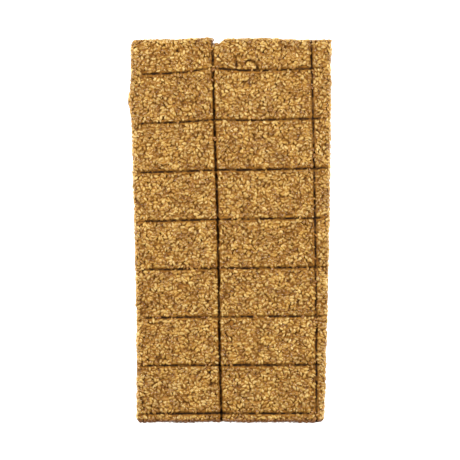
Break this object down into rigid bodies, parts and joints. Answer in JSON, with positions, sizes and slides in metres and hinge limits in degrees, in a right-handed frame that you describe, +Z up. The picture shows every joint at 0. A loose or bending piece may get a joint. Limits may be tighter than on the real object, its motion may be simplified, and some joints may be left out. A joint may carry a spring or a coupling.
{
  "type": "sesame brittle slab",
  "caption": "Flat oblong slab of sesame brittle with long and cross score lines, rounded rims and a notch where the central score opens at one end.",
  "frame": {"origin": "middle of the slab's box, on the flat face it rests on", "axes": "+X across the slab towards the narrow trimmed strip, +Y along it towards the notched end, +Z up out of the scored face"},
  "size_m": [0.0922, 0.1736, 0.0064],
  "materials": {
    "sesame_caramel": "toasted sesame seeds held in clear amber caramel, rough relief with small glossy highlights"
  },
  "bodies": {
    "root": {"brittle_slab": "sesame_caramel"}
  },
  "joints": []
}
